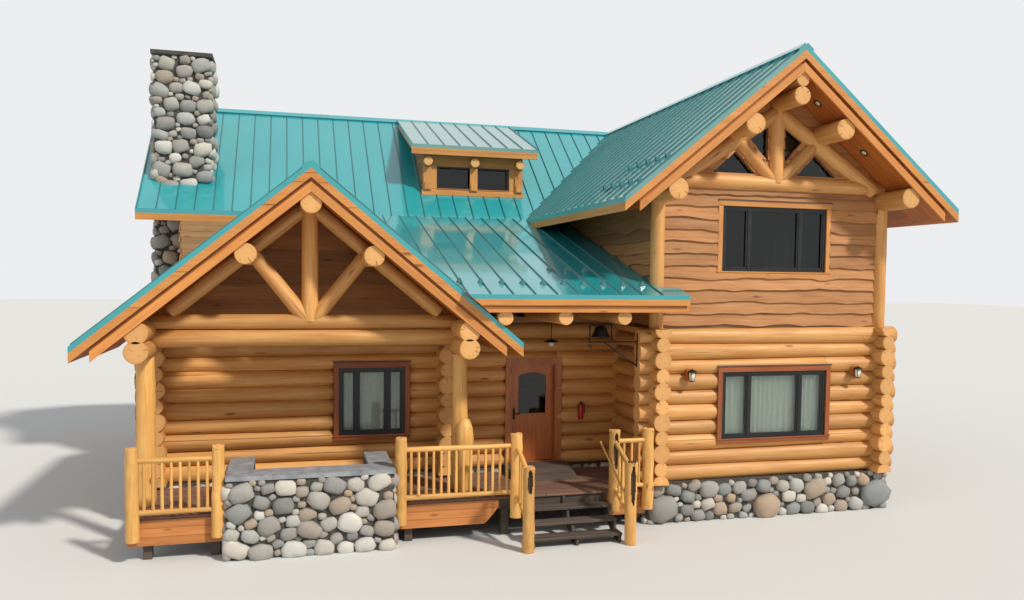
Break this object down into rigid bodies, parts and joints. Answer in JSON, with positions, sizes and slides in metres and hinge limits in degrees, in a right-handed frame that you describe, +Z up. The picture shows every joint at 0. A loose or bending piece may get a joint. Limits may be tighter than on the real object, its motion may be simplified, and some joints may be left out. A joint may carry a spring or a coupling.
{
  "type": "log cabin",
  "caption": "Two-storey log cabin with a gabled wing, entry porch, raised deck, metal roofs and a hinged entry door.",
  "frame": {"origin": "centre of the overall box, on the ground", "axes": "+Z up, front faces -Y, +X to the right seen from the front"},
  "size_m": [16.3824, 14.109, 9.99],
  "materials": {
    "river_stone": "rounded grey and tan river stone",
    "slate": "split grey slate",
    "roof_metal": "teal green standing seam metal",
    "window_black": "dark satin",
    "glass": "clear",
    "dark_iron": "black iron",
    "door_wood": "reddish brown stain",
    "trim_wood": "orange brown stain",
    "siding": "tan brown live edge boards",
    "floor_wood": "plain boards",
    "deck_wood": "brown deck boards",
    "peeled_pole": "peeled golden poles",
    "log_wood": "honey golden peeled logs"
  },
  "bodies": {
    "house": {"back_wall": "log_wood", "barge_boards": "trim_wood", "bell": "dark_iron", "chimney": "river_stone", "corner_posts": "peeled_pole", "cross_wall_ends": "log_wood", "deck": "deck_wood", "deck_frame": "deck_wood", "deck_rails": "peeled_pole", "deck_skirt": "deck_wood", "door_frame": "door_wood", "door_landing": "deck_wood", "dormer_roof": "roof_metal", "dormer_walls": "siding", "entry_wall_left": "log_wood", "entry_wall_right": "log_wood", "frame_hinges": "dark_iron", "gable_trusses": "log_wood", "ground_floor": "floor_wood", "lamps": "dark_iron", "left_wall_front": "log_wood", "left_wall_rear": "log_wood", "main_foundation": "river_stone", "main_front_upper_wall": "siding", "main_gable_wall": "siding", "main_roof_back": "roof_metal", "main_roof_front": "roof_metal", "newel_posts": "peeled_pole", "over_door_logs": "log_wood", "porch_columns": "peeled_pole", "porch_purlins": "log_wood", "porch_roof_left": "roof_metal", "porch_roof_right": "roof_metal", "rail_posts": "peeled_pole", "roof_seams": "roof_metal", "shallow_roof": "roof_metal", "stair_stringers": "deck_wood", "stair_treads": "deck_wood", "stone_surround": "river_stone", "surround_cap": "slate", "upper_back_wall": "siding", "upper_entry_wall": "siding", "upper_floor": "floor_wood", "upper_front_wall": "siding", "upper_left_wall": "siding", "upper_right_wall": "siding", "window_frames": "window_black", "window_glass": "glass", "window_trim": "trim_wood", "wing_foundation": "river_stone", "wing_front_wall": "log_wood", "wing_left_wall": "log_wood", "wing_purlins": "log_wood", "wing_right_wall": "log_wood", "wing_roof_left": "roof_metal", "wing_roof_right": "roof_metal"},
    "door": {"door_glass": "glass", "door_handle": "dark_iron", "entry_door": "door_wood", "leaf_hinges": "dark_iron"}
  },
  "joints": [
    {"name": "entry_door_hinge", "type": "hinge", "parent": "house", "child": "door", "pos_m": [0.57025, -3.7955, 2], "axis": [0, 0, -1], "range_deg": [0, 90]}
  ]
}
